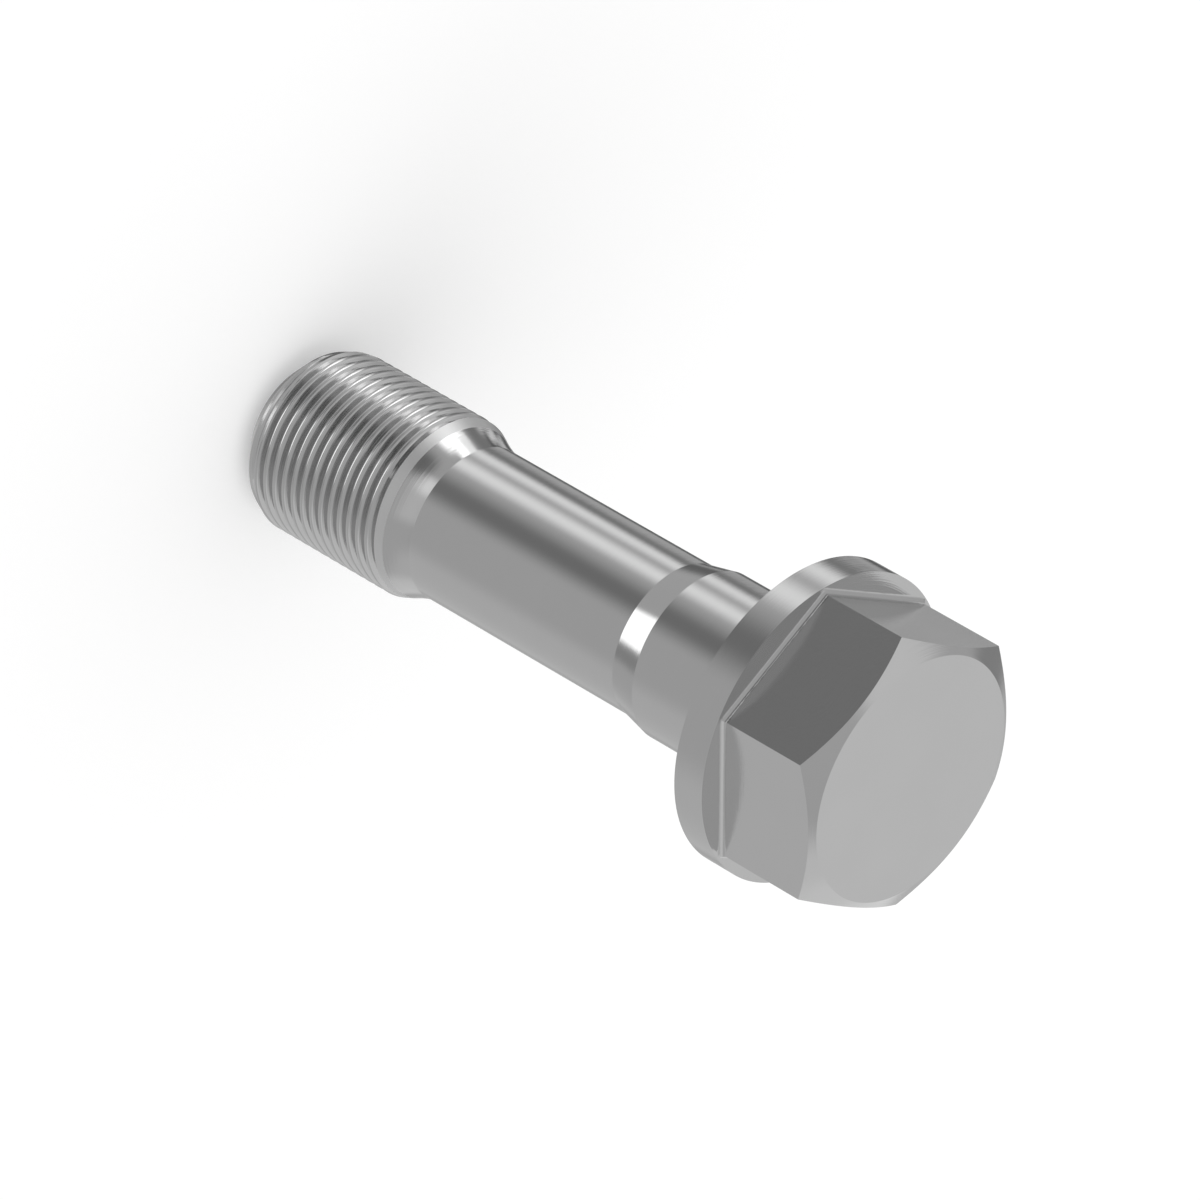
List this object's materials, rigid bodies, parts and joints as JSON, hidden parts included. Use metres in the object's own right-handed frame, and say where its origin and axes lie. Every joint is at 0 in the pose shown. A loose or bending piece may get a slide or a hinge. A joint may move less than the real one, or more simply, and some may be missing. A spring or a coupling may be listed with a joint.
{
  "type": "hex flange screw",
  "caption": "Hex flange screw with a locating shoulder, a waisted shank and a fine thread at its end.",
  "frame": {"origin": "centre of the flat thread end that the screw stands on", "axes": "+Z along the screw's axis, from the thread end to the head; X across a pair of flats, Y across a pair of corners"},
  "size_m": [0.0264, 0.0264, 0.0676],
  "materials": {
    "steel": "machined, plain"
  },
  "bodies": {
    "root": {"screw": "steel"}
  },
  "joints": []
}
